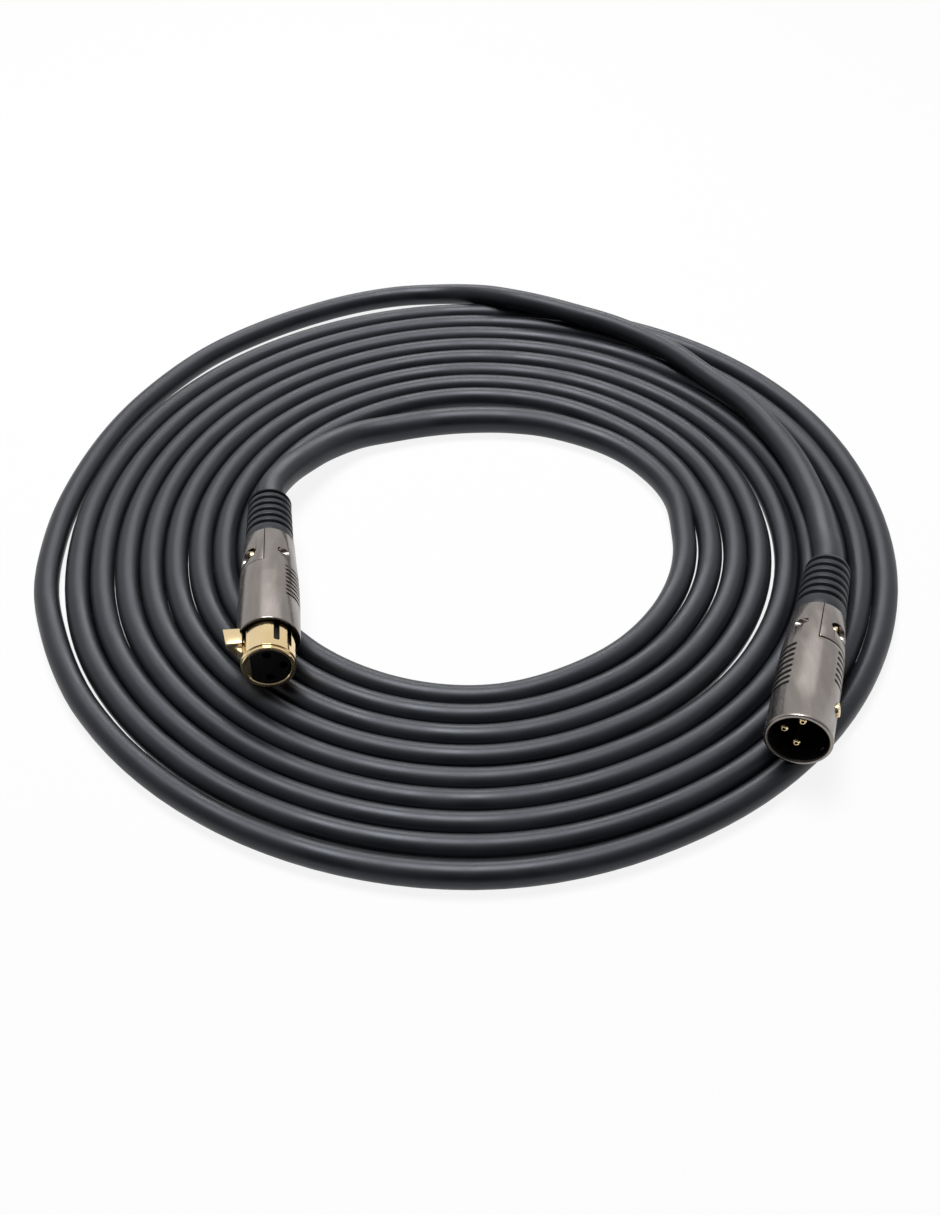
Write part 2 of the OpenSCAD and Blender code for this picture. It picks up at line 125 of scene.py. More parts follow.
def surface_group() -> bpy.types.NodeTree:
    """Makes the shared group that varies a colour in soft patches and gives a fine grain.

    Returns:
        The node group, with outputs Color, Patches and Grain.
    """
    name = "Surface variation"
    if name in bpy.data.node_groups:
        return bpy.data.node_groups[name]
    group = bpy.data.node_groups.new(name, "ShaderNodeTree")
    sides = group.interface
    for label, way, kind in (
        ("Vector", "INPUT", "Vector"),
        ("Base", "INPUT", "Color"),
        ("Tint", "INPUT", "Color"),
        ("Patch scale", "INPUT", "Float"),
        ("Grain scale", "INPUT", "Float"),
        ("Color", "OUTPUT", "Color"),
        ("Patches", "OUTPUT", "Float"),
        ("Grain", "OUTPUT", "Float"),
    ):
        sides.new_socket(label, in_out=way, socket_type="NodeSocket" + kind)
    entry = group.nodes.new("NodeGroupInput")
    leave = group.nodes.new("NodeGroupOutput")
    patches = new_node(group, "TexNoise", {"Detail": PATCH_DETAIL})
    spread = new_node(group, "MapRange", {"From Min": PATCH_LOW, "From Max": PATCH_HIGH})
    grain = new_node(group, "TexNoise", {"Detail": GRAIN_DETAIL, "Roughness": GRAIN_ROUGHNESS})
    mix = new_node(group, "Mix")
    mix.data_type = "RGBA"
    join = group.links.new
    join(entry.outputs["Vector"], patches.inputs["Vector"])
    join(entry.outputs["Vector"], grain.inputs["Vector"])
    join(entry.outputs["Patch scale"], patches.inputs["Scale"])
    join(entry.outputs["Grain scale"], grain.inputs["Scale"])
    join(patches.outputs["Fac"], spread.inputs["Value"])
    join(spread.outputs["Result"], mix.inputs["Factor"])
    join(entry.outputs["Base"], mix.inputs["A"])
    join(entry.outputs["Tint"], mix.inputs["B"])
    join(mix.outputs["Result"], leave.inputs["Color"])
    join(spread.outputs["Result"], leave.inputs["Patches"])
    join(grain.outputs["Fac"], leave.inputs["Grain"])
    return group


@dataclass(frozen=True)
class Finish:
    """A surface that a piece is dressed in: two near colours, its gloss and its grain."""

    name: str
    base: Colour
    tint: Colour
    roughness: float
    roughness_spread: float = 0.06
    metallic: float = 0.0
    specular: float = 0.5
    specular_tint: Colour = (1.0, 1.0, 1.0)
    patch_scale: float = 60.0
    grain_scale: float = 1800.0
    grain_depth: float = 0.02
    grain_strength: float = 0.3
    stretch: float = 1.0

    def build(self) -> bpy.types.Material:
        """Makes the material, or gives the one already made.

        Returns:
            The material.
        """
        if self.name in bpy.data.materials:
            return bpy.data.materials[self.name]
        material = bpy.data.materials.new(self.name)
        material.use_nodes = True
        material.diffuse_color = (*self.base, 1.0)
        tree = material.node_tree
        join = tree.links.new
        shader = tree.nodes["Principled BSDF"]
        put(shader, {"Metallic": self.metallic, "Specular IOR Level": self.specular})
        put(shader, {"Specular Tint": (*self.specular_tint, 1.0)})
        place = new_node(tree, "TexCoord")
        varied = new_node(tree, "Group")
        varied.node_tree = surface_group()
        put(varied, {"Base": (*self.base, 1.0), "Tint": (*self.tint, 1.0)})
        put(varied, {"Patch scale": self.patch_scale, "Grain scale": self.grain_scale})
        drawn = new_node(tree, "VectorMath")
        drawn.operation = "MULTIPLY"
        drawn.inputs[1].default_value = (1, 1 / self.stretch, 1)
        join(place.outputs["Object"], drawn.inputs[0])
        join(drawn.outputs[0], varied.inputs["Vector"])
        low, high = (self.roughness + way * self.roughness_spread for way in (-1, 1))
        gloss = new_node(tree, "MapRange", {"To Min": low, "To Max": high})
        join(varied.outputs["Patches"], gloss.inputs["Value"])
        join(gloss.outputs["Result"], shader.inputs["Roughness"])
        bump = new_node(tree, "Bump", {"Strength": self.grain_strength})
        put(bump, {"Distance": self.grain_depth * MM})
        join(varied.outputs["Grain"], bump.inputs["Height"])
        join(bump.outputs["Normal"], shader.inputs["Normal"])
        join(varied.outputs["Color"], shader.inputs["Base Color"])
        return material


COOL = (0.87, 0.9, 1.0)
JACKET = Finish(
    "Jacket, matt black", (0.0065, 0.0072, 0.009), (0.010, 0.011, 0.0135), 0.43,
    grain_strength=0.12, specular_tint=COOL,
)
BOOT = Finish(
    "Boot, soft rubber", (0.011, 0.012, 0.0145), (0.016, 0.017, 0.02), 0.46, specular_tint=COOL
)
PLATE = Finish(
    "Shell, satin plated", (0.25, 0.226, 0.208), (0.29, 0.262, 0.242), 0.25,
    metallic=1.0, roughness_spread=0.03, patch_scale=400.0, grain_scale=2600.0, stretch=4.0,
)
GILT = Finish(
    "Gilt plating", (0.84, 0.64, 0.35), (0.88, 0.70, 0.42), 0.16, metallic=1.0, grain_strength=0.15
)
MOULDING = Finish(
    "Insulator, black moulding", (0.005, 0.005, 0.006), (0.008, 0.008, 0.009), 0.4, specular=0.3
)
# Painted shade: near-black for the insides of the bores, the faces in the seams between shell and
# cover and the dimples in the pins' tips, where little light reaches
RECESS_SHADE = Finish(
    "Painted shade in bores, seams and dimples", (0.004, 0.004, 0.004), (0.007, 0.007, 0.006), 0.5, specular=0.15
)
# Painted shade: the plating darkened on the floors of the grip grooves, where less light falls
GROOVE_SHADE = Finish(
    "Shell, painted shade in its grooves", (0.05, 0.045, 0.042), (0.07, 0.062, 0.058), 0.4, metallic=1.0
)
STEEL = Finish("Spring steel", (0.52, 0.52, 0.53), (0.6, 0.6, 0.6), 0.3, metallic=1.0)
TIN = Finish("Tinned lug", (0.62, 0.60, 0.56), (0.7, 0.68, 0.64), 0.38, metallic=1.0)
RED = Finish("Core, red", (0.38, 0.02, 0.015), (0.45, 0.03, 0.02), 0.4)
WHITE = Finish("Core, white", (0.72, 0.72, 0.68), (0.78, 0.78, 0.75), 0.4)
COPPER = Finish("Shield, copper", (0.72, 0.34, 0.2), (0.78, 0.42, 0.27), 0.35, metallic=1.0)

FINISHES: dict[Slot, Finish] = {
    Slot.JACKET: JACKET,
    Slot.BOOT: BOOT,
    Slot.SHELL: PLATE,
    Slot.GILT: GILT,
    Slot.INSULATOR: MOULDING,
    Slot.STEEL: STEEL,
    Slot.TIN: TIN,
    Slot.CORE_RED: RED,
    Slot.CORE_WHITE: WHITE,
    Slot.COPPER: COPPER,
}


# ---- places ----


@dataclass(frozen=True)
class Placement:
    """Where a connector's front face is (mm), its turn from facing -Y and its tip upwards."""

    at: Point
    turn: float
    tilt: float

    def matrix(self) -> Matrix:
        """The matrix from the connector's own millimetres to the frame's metres."""
        turned = Euler((radians(90 + self.tilt), 0, radians(180 + self.turn)))
        return (
            Matrix.Translation(Vector(self.at) * MM)
            @ turned.to_matrix().to_4x4()
            @ Matrix.Scale(MM, 4)
        )

    def point(self, x: float, y: float, s: float) -> Vector:
        """The place in the frame, in metres, of a point of the connector in millimetres."""
        return self.matrix() @ Vector((x, y, s))

    def back(self) -> Vector:
        """The unit direction from the front face back along the axis."""
        return (self.point(0, 0, 1) - self.point(0, 0, 0)).normalized()


MALE = Placement((91.0, -106.4, 17.5), -16.06, 1.5)
FEMALE = Placement((-53.7, -80.2, 18.25), 5.4, 3.0)
MALE_BOOT_END = 73.0
FEMALE_BOOT_END = 76.5


# ---- modelling ----


def deselect() -> None:
    """Leaves nothing selected."""
    bpy.ops.object.select_all(action="DESELECT")


def pick(item: Item) -> None:
    """Selects one object and makes it the active one. Args: the object."""
    deselect()
    item.select_set(True)
    bpy.context.view_layer.objects.active = item


def add(name: str, data: bpy.types.ID) -> Item:
    """Puts new data in the scene as an object. Args: its name and the data."""
    item = bpy.data.objects.new(name, data)
    bpy.context.scene.collection.objects.link(item)
    return item


def at_clock(clock: float) -> Matrix:
    """The turn that brings +x to a clock angle. Args: the angle in degrees."""
    return Matrix.Rotation(radians(90 - clock), 4, "Z")


def turned(
    name: str,
    outline: list[Ring],
    clock: float = 0.0,
    sweep: float = 360.0,
    steps: int = FULL_STEPS,
) -> Item:
    """Spins a closed outline round a connector's axis.

    Args:
        name: The piece's name.
        outline: The outline's corners, in order.
        clock: Clock angle at which the sweep starts, in degrees.
        sweep: How far it goes, in degrees.
        steps: Steps in the sweep.

    Returns:
        The piece, in the connector's own millimetres.
    """
    out = Vector((sin(radians(clock)), cos(radians(clock)), 0))
    corners = [out * r + Vector((0, 0, s)) for r, s in outline]
    count = len(corners)
    edges = [(i, (i + 1) % count) for i in range(count)]
    mesh = bpy.data.meshes.new(name)
    if sweep < 360:
        mesh.from_pydata(corners, [], [tuple(range(count))])
    else:
        mesh.from_pydata(corners, edges, [])
    piece = add(name, mesh)
    pick(piece)
    bpy.ops.object.mode_set(mode="EDIT")
    bpy.ops.mesh.select_mode(type="VERT")
    bpy.ops.mesh.select_all(action="SELECT")
    bpy.ops.mesh.spin(steps=steps, angle=radians(sweep), center=(0, 0, 0), axis=(0, 0, 1))
    bpy.ops.mesh.select_all(action="SELECT")
    bpy.ops.mesh.remove_doubles(threshold=MERGE)
    bpy.ops.mesh.normals_make_consistent(inside=False)
    bpy.ops.object.mode_set(mode="OBJECT")
    return piece


def squeeze(piece: Item, wanted: Callable[[Vector], bool], factor: float) -> None:
    """Moves chosen corners towards or away from the axis.

    Args:
        piece: The piece.
        wanted: Says whether a corner is one of them.
        factor: What their distance from the axis is multiplied by.
    """
    pick(piece)
    bpy.ops.object.mode_set(mode="EDIT")
    bpy.ops.mesh.select_mode(type="VERT")
    bpy.ops.mesh.select_all(action="DESELECT")
    bpy.ops.object.mode_set(mode="OBJECT")
    for vertex in piece.data.vertices:
        vertex.select = wanted(vertex.co)
    bpy.ops.object.mode_set(mode="EDIT")
    bpy.ops.transform.resize(value=(factor, factor, 1), center_override=(0, 0, 0))
    bpy.ops.object.mode_set(mode="OBJECT")


def block(low: Point, high: Point, clock: float = 90.0) -> Item:
    """A box-shaped cutter from one corner to the other, turned to a clock angle."""
    deselect()
    bpy.ops.mesh.primitive_cube_add(size=1)
    tool = bpy.context.object
    a, b = Vector(low), Vector(high)
    tool.data.transform(
        at_clock(clock)
        @ Matrix.Translation((a + b) / 2)
        @ Matrix.Diagonal((*(b - a), 1.0))
    )
    return tool


def prism(name: str, outline: list[Pair], depth: float, place: Matrix) -> Item:
    """Extrudes a flat outline.

    Args:
        name: The piece's name.
        outline: The outline's corners, in order.
        depth: How far it goes along its own z.
        place: The matrix that brings it to its place.

    Returns:
        The piece.
    """
    mesh = bpy.data.meshes.new(name)
    mesh.from_pydata([(a, b, 0) for a, b in outline], [], [tuple(range(len(outline)))])
    piece = add(name, mesh)
    pick(piece)
    bpy.ops.object.mode_set(mode="EDIT")
    bpy.ops.mesh.select_mode(type="FACE")
    bpy.ops.mesh.select_all(action="SELECT")
    bpy.ops.mesh.extrude_region_move(TRANSFORM_OT_translate={"value": (0, 0, depth)})
    bpy.ops.mesh.select_all(action="SELECT")
    bpy.ops.mesh.normals_make_consistent(inside=False)
    bpy.ops.object.mode_set(mode="OBJECT")
    mesh.transform(place)
    return piece


def rod(radius: float, length: float, place: Matrix) -> Item:
    """A round bar along its own z. Args: its radius, its length and its place."""
    deselect()
    bpy.ops.mesh.primitive_cylinder_add(vertices=ROUND_SIDES, radius=radius, depth=length)
    bar = bpy.context.object
    bar.data.transform(place)
    return bar


def drill(
    radius: float, start: float, end: float, clock: float, s: float, across: float = 0.0
) -> Item:
    """A round cutter that runs out from the axis.

    Args:
        radius: Its radius.
        start: Distance from the axis at which it starts.
        end: Distance at which it ends.
        clock: The clock angle that it runs out at.
        s: Distance from the front.
        across: How far it is set sideways.

    Returns:
        The cutter.
    """
    return rod(
        radius,
        end - start,
        at_clock(clock)
        @ Matrix.Translation(((start + end) / 2, across, s))
        @ Matrix.Rotation(radians(90), 4, "Y"),
    )


def carve(piece: Item, tools: list[Item], operation: str = "DIFFERENCE") -> None:
    """Cuts tools out of a piece, or adds them to it, and clears them away.

    Args:
        piece: The piece.
        tools: The cutters.
        operation: DIFFERENCE to cut them out, UNION to add them.
    """
    for tool in tools:
        pick(piece)
        bpy.ops.object.modifier_add(type="BOOLEAN")
        step = piece.modifiers[-1]
        step.operation = operation
        step.solver = "EXACT"
        step.object = tool
        bpy.ops.object.modifier_apply(modifier=step.name)
        bpy.data.objects.remove(tool)


def soften(piece: Item, width: float, angle: float = SHARP) -> None:
    """Rounds a piece's sharp edges and shades the rest smooth.

    Args:
        piece: The piece.
        width: Width of the rounding, in the piece's own units.
        angle: Least angle, in degrees, of an edge that is rounded.
    """
    pick(piece)
    bpy.ops.object.modifier_add(type="BEVEL")
    step = piece.modifiers[-1]
    step.width = width
    step.segments = 2
    step.limit_method = "ANGLE"
    step.angle_limit = radians(angle)
    step.use_clamp_overlap = False
    step.miter_outer = "MITER_ARC"
    bpy.ops.object.modifier_apply(modifier=step.name)
    bpy.ops.object.shade_smooth_by_angle(angle=radians(UNSMOOTH))


def settle(
    piece: Item,
    placement: Placement,
    slot: Slot,
    replaces: tuple[str, ...],
    body: Body = Body.LEAD,
) -> None:
    """Moves a piece to its place in the frame, gives it its slot's finish, attaches it to its body
    and hides the nodes it stands for.

    Args:
        piece: The piece, in the connector's millimetres.
        placement: The connector's place.
        slot: Its material slot, whose finish it takes.
        replaces: The frame's nodes that it stands for.
        body: The body it rides on.
    """
    piece.data.transform(placement.matrix())
    piece.data.materials.append(FINISHES[slot].build())
    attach(piece, body.value)
    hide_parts(*replaces)
    LOG.info("piece %s: %d faces", piece.name, len(piece.data.polygons))


# ---- housings ----


@dataclass(frozen=True)
class Grip:
    """A row of grooves for the fingers on one side of a shell.

    A groove's floor reaches `floor` of its width to each side. Only corners within `skin` of
    the surface are pressed in.
    """

    first: float
    pitch: float
    count: int
    clock_from: float
    clock_to: float
    width: float = 1.15
    depth: float = 0.65
    floor: float = 0.3
    skin: float = 0.3

    def places(self) -> list[float]:
        """The grooves' distances from the front."""
        return [self.first + self.pitch * i for i in range(self.count)]

    def rows(self, radius: Callable[[float], float]) -> list[Ring]:
        """Four corners of the shell's outline for each groove. Args: the shell's radius."""
        shares = (-0.5, -0.2, 0.2, 0.5)
        places = [s + share * self.width for s in self.places() for share in shares]
        return [(radius(s), s) for s in places]

    def press(self, piece: Item, radius: Callable[[float], float]) -> None:
        """Presses the grooves in. Args: the shell, and its radius at a distance."""
        for place in self.places():
            reach = radius(place)

            def inside(at: Vector, place: float = place, reach: float = reach) -> bool:
                clock = degrees(atan2(at.x, at.y))
                return (
                    abs(at.z - place) < self.floor * self.width
                    and self.clock_from <= clock <= self.clock_to
                    and at.xy.length > reach - self.skin
                )

            squeeze(piece, inside, (reach - self.depth) / reach)


@dataclass(frozen=True)
class Housing:
    """A connector's shell with its clamp cover.

    The outline runs from the front to the rear, and the bore back again. `cover_clock` is where
    the cover's half turn starts, and `head_side` is the side of the clamp screws' heads, +1
    towards +x. A port is a radius and a distance sideways. The last five say how near an
    outline's corner is to a groove, and a face to the bore, a groove or the seam; the faces
    near the bore, in a groove or in the seam are given painted shade.
    """

    name: str
    placement: Placement
    outline: tuple[Ring, ...]
    bore: tuple[Ring, ...]
    grips: tuple[Grip, ...]
    seam: float
    gap: float
    cover_clock: float
    jaws: float
    head_side: int
    rear_bore: float = 6.7
    side_gap: float = 1.2
    edge: float = 0.1
    cover_edge: float = 0.2
    head_port: Pair = (2.7, 5.0)
    tail_port: Pair = (1.4, 6.6)
    port_start: float = 3.3
    apart: float = 0.06
    on_bore: float = 0.02
    in_groove: float = 0.25
    groove_end: float = 2.0
    beside_seam: float = 0.6

    def radius(self, s: float) -> float:
        """The outside radius at a distance from the front."""
        for (r0, s0), (r1, s1) in zip(self.outline, self.outline[1:]):
            if s0 < s1 and s <= s1:
                return r0 + (r1 - r0) * max(0.0, (s - s0) / (s1 - s0))
        return self.outline[-1][0]

    def end(self) -> float:
        """The shell's rear end."""
        return self.outline[-1][1]

    def ports(self) -> list[Item]:
        """Cutters for the ports over the clamp screws' heads and over their tails."""
        start, side = self.port_start, 90.0 * self.head_side
        return [
            drill(radius, start, OUTSIDE, clock, self.jaws, way * across)
            for way in (-1, 1)
            for clock, (radius, across) in ((side, self.head_port), (-side, self.tail_port))
        ]

    def body(self) -> Item:
        """Makes the shell with its grooves, still without its own cuts and roundings."""
        rows = [row for grip in self.grips for row in grip.rows(self.radius)]
        kept = [p for p in self.outline if all(abs(p[1] - s) > self.apart for _, s in rows)]
        outside = sorted([*kept, *rows], key=lambda p: p[1])
        shell = turned(self.name, [*outside, *self.bore])
        for grip in self.grips:
            grip.press(shell, self.radius)
        # The cutter reaches past the shell inside, outside and behind
        near, far = self.rear_bore - 0.5, self.radius(self.seam) + 2
        front, back = self.seam - self.gap, self.end() + 1
        rear_half = turned(
            "rear half",
            [(near, front), (far, front), (far, back), (near, back)],
            self.cover_clock - self.side_gap,
            180 + 2 * self.side_gap,
            HALF_STEPS,
        )
        carve(shell, [rear_half, *self.ports()])
        return shell

    def cover(self) -> Item:
        """Makes the clamp cover."""
        rear = [p for p in self.outline if self.seam + 0.3 < p[1] < self.end()]
        outside = [(self.radius(self.seam), self.seam), *rear, self.outline[-1]]
        outline = [(self.rear_bore, self.seam), *outside, (self.rear_bore, self.end())]
        cover = turned(f"{self.name}_cover", outline, self.cover_clock, 180, HALF_STEPS)
        carve(cover, self.ports())
        soften(cover, self.cover_edge)
        return cover

    def build(self, cuts: list[Item], shell_node: str, cover_node: str) -> list[Item]:
        """Makes both parts and puts them in place.

        Args:
            cuts: The shell's other cutters.
            shell_node: The frame's node of the shell.
            cover_node: The frame's node of the cover.

        Returns:
            The shell and the cover.
        """
        shell = self.body()
        carve(shell, cuts)
        soften(shell, self.edge)
        settle(shell, self.placement, Slot.SHELL, (shell_node,))
        # Painted shade for the bore and the seam's faces
        shell.data.materials.append(RECESS_SHADE.build())
        # Painted shade for the grip grooves' floors
        shell.data.materials.append(GROOVE_SHADE.build())
        inverse = self.placement.matrix().inverted()
        (rear, _), (_, step), (front, _) = self.bore[:3]
        for face in shell.data.polygons:
            at = inverse @ face.center
            off_axis, outer = at.xy.length, self.radius(at.z)
            # Faces inside the bore take painted shade
            if off_axis < (front if at.z < step else rear) + self.on_bore:
                face.material_index = RECESS_SHADE_INDEX
            # Faces in the grip grooves take painted groove shade
            elif off_axis < outer - self.in_groove and at.z < self.seam - self.groove_end:
                face.material_index = GROOVE_SHADE_INDEX
            # Faces in the seam between shell and cover take painted shade
            elif self.in_seam(at, at.z < self.seam):
                face.material_index = RECESS_SHADE_INDEX
        cover = self.cover()
        settle(cover, self.placement, Slot.SHELL, (cover_node,))
        # The cover's faces in the seam take painted shade
        cover.data.materials.append(RECESS_SHADE.build())
        for face in cover.data.polygons:
            at = inverse @ face.center
            if self.in_seam(at, abs(at.z - self.seam) < 0.01):
                face.material_index = RECESS_SHADE_INDEX
        return [shell, cover]

    def in_seam(self, at: Vector, along: bool) -> bool:
        """Whether a face is in the seam between shell and cover, where it is given painted shade.

        Args:
            at: The face's middle in the connector's millimetres.
            along: Whether it is where the seam runs round the shell.
        """
        below = at.xy.length < self.radius(at.z) - self.cover_edge - 0.05
        round_it = along and at.z > self.seam - self.gap - 0.01
        clock = degrees(atan2(at.x, at.y)) - self.cover_clock
        off = abs((clock + 90) % 180 - 90) * pi / 180 * at.xy.length
        past_bore = at.xy.length > self.rear_bore + 0.1
        beside = at.z > self.seam and off < self.beside_seam and past_bore
        return below and (round_it or beside)


MALE_HOUSING = Housing(
    name="male_housing",
    placement=MALE,
    outline=(
        (8.55, 0.0), (8.95, 0.0), (9.25, 0.12), (9.4, 0.4), (9.4, 1.1), (9.25, 1.4),
        (9.3, 14.0), (9.2, 26.0), (9.0, 33.0), (8.6, 38.5), (8.1, 44.0), (7.75, 48.6),
    ),
    bore=((6.7, 48.6), (6.7, 24.0), (8.1, 24.0), (8.1, 0.5), (8.25, 0.15)),
    grips=(Grip(14.0, 2.27, 8, 36, 148), Grip(19.4, 2.27, 6, -150, -46)),
    seam=33.2,
    gap=0.55,
    cover_clock=-183.5,
    jaws=39.8,
    head_side=-1,
)
FEMALE_HOUSING = Housing(
    name="female_housing",
    placement=FEMALE,
    outline=(
        (8.5, 11.2), (8.95, 11.2), (9.1, 11.35), (9.15, 11.6), (9.15, 26.0), (9.0, 33.0),
        (8.75, 38.4), (8.3, 44.5), (7.7, 54.2),
    ),
    bore=((6.7, 54.2), (6.7, 24.0), (7.95, 24.0), (7.95, 11.8), (8.2, 11.3)),
    grips=(
        Grip(23.9, 1.83, 8, -148, -38, width=0.85),
        Grip(30.2, 1.83, 5, 55, 148, width=0.85),
    ),
    seam=38.4,
    gap=0.18,
    cover_clock=6.0,
    jaws=43.7,
    head_side=1,
)


# The screws that hold the inserts: clock angle and distance from the front
KEY_SCREW = (-75, 12)
INSERT_SCREW = (180, 17)
# Where their holes start, nearer the axis than both shells' walls
HOLE_START = 5.0


def build_housings() -> list[Item]:
    """Makes both connectors' shells and clamp covers, and returns them."""
    key_hole = drill(1.0, HOLE_START, OUTSIDE, *KEY_SCREW)
    key_sink = drill(2.05, 8.85, OUTSIDE, *KEY_SCREW)
    key_slot = block((7.9, -1.8, 4.2), (8.75, 1.8, 7.4), -93)
    male = MALE_HOUSING.build([key_hole, key_sink, key_slot], "male_shell", "male_clamp_cover")
    insert_hole = drill(1.2, HOLE_START, OUTSIDE, *INSERT_SCREW)
    lever_notch = block((5, -4.9, 10.2), (OUTSIDE, 4.9, 12.8))
    cuts = [insert_hole, lever_notch]
    female = FEMALE_HOUSING.build(cuts, "female_shell", "female_clamp_cover")
    return male + female


# ---- latch ----


@dataclass(frozen=True)
class Lever:
    """The latch's lever: a thumb pad, the hook in front of it and the leg to the pivot.

    The pad's lower edge is aslant between the `slant` heights. Leg and neck have two corners.
    """

    front: float = 6.5
    rear: float = 12.55
    inner: float = 7.05
    reach: float = 12.7
    front_reach: float = 11.75
    half: float = 4.5
    slant: Pair = (-3.45, 3.55)
    slant_start: float = 0.25
    hook: tuple[Ring, ...] = ((7.06, 7.2), (7.06, 4.5), (7.35, 4.5), (9.1, 6.4), (9.1, 7.2))
    hook_half: float = 2.3
    leg: tuple[Point, Point] = ((6.55, -2.2, 9), (7.3, 2.2, 19.5))
    neck: tuple[Point, Point] = ((6.0, -1.3, 19), (7.0, 1.3, 21.5))
    pivot: Pair = (6.35, 21.5)
    eye_radius: float = 0.8
    eye_length: float = 2.6
    bore_radius: float = 0.55
    edge: float = 0.22

    def side_prism(self, name: str, outline: list[Pair], half: float) -> Item:
        """A prism across the lever. Args: name, outline in x and s, and half its width."""
        place = Matrix.Translation((0, half, 0)) @ Matrix.Rotation(radians(90), 4, "X")
        return prism(name, outline, 2 * half, place)

    def pad(self) -> Item:
        """The thumb pad, cut off aslant below and leaning outwards to the rear."""
        low, high = self.slant
        outline = [
            (self.inner, self.half),
            (self.inner, low),
            (self.inner + self.slant_start, low),
            (self.reach, high),
            (self.reach, self.half),
        ]
        pad = prism(
            "latch", outline, self.rear - self.front, Matrix.Translation((0, 0, self.front))
        )
        beyond = self.reach + 1
        lean = [
            (self.front_reach, self.front - 0.1),
            (beyond, self.front - 0.1),
            (beyond, self.rear),
            (self.reach, self.rear),
        ]
        carve(pad, [self.side_prism("lean", lean, self.half + 1)])
        return pad

    def build(self) -> None:
        """Makes the lever and puts it in place."""
        lever = self.pad()
        x, s = self.pivot
        across = Matrix.Translation((x, 0, s)) @ Matrix.Rotation(radians(90), 4, "X")
        hook = self.side_prism("hook", list(self.hook), self.hook_half)
        eye = rod(self.eye_radius, self.eye_length, across)
        carve(lever, [hook, block(*self.leg), block(*self.neck), eye], "UNION")
        carve(lever, [rod(self.bore_radius, 2 * self.half + 1, across)])
        soften(lever, self.edge)
        settle(lever, FEMALE, Slot.GILT, ("latch_lever",), Body.LATCH)


# ---- boots ----


# A groove's outline: shares of its width along the boot, and of its depth
GROOVE = ((-0.5, 0), (-0.36, 0.8), (-0.2, 1), (0.2, 1), (0.36, 0.8), (0.5, 0))


@dataclass(frozen=True)
class Boot:
    """The flexing sleeve behind a shell: a collar, then ribs between rounded grooves.

    `plug` is its radius inside the shell, `lead_in` the radius and length of its start, and
    `tip` has radii and distances from the end.
    """

    name: str
    node: str
    placement: Placement
    inner: float
    start: float
    radius: float
    groove: float
    pitch: float
    end: float
    tip_radius: float = 6.8
    bore: float = 3.75
    depth: float = 1.3
    width: float = 1.5
    grooves: int = 6
    plug: float = 6.65
    lead_in: Ring = (6.35, 0.4)
    tip_length: float = 1.5
    tip: tuple[Ring, ...] = ((6.75, 1.4), (6.4, 0.5), (5.7, 0.0))
    edge: float = 0.22

    def radius_at(self, s: float) -> float:
        """The outside radius, without grooves, at a distance from the front."""
        share = (s - self.start) / (self.end - self.tip_length - self.start)
        return self.radius + (self.tip_radius - self.radius) * share

    def build(self) -> None:
        """Makes the boot and puts it in place."""
        narrow, length = self.lead_in
        outline = [(self.bore, self.inner), (narrow, self.inner)]
        outline += [(self.plug, self.inner + length), (self.plug, self.start)]
        outline.append((self.radius, self.start))
        for i in range(self.grooves):
            middle = self.groove + i * self.pitch
            for share, depth in GROOVE:
                s = middle + share * self.width
                outline.append((self.radius_at(s) - depth * self.depth, s))
        outline += [(radius, self.end - before) for radius, before in self.tip]
        outline.append((self.bore, self.end))
        boot = turned(self.name, outline, steps=BOOT_STEPS)
        soften(boot, self.edge, UNSMOOTH)
        settle(boot, self.placement, Slot.BOOT, (self.node,))


def build_boots() -> None:
    """Makes both boots."""
    male = ("male_sleeve", "male_boot", MALE)
    Boot(*male, 44.6, MALE_HOUSING.end(), 7.6, 53.9, 3.3, MALE_BOOT_END).build()
    female = ("female_sleeve", "female_boot", FEMALE)
    Boot(*female, 49.0, FEMALE_HOUSING.end(), 7.5, 58.4, 3.2, FEMALE_BOOT_END).build()


# ---- the lead ----


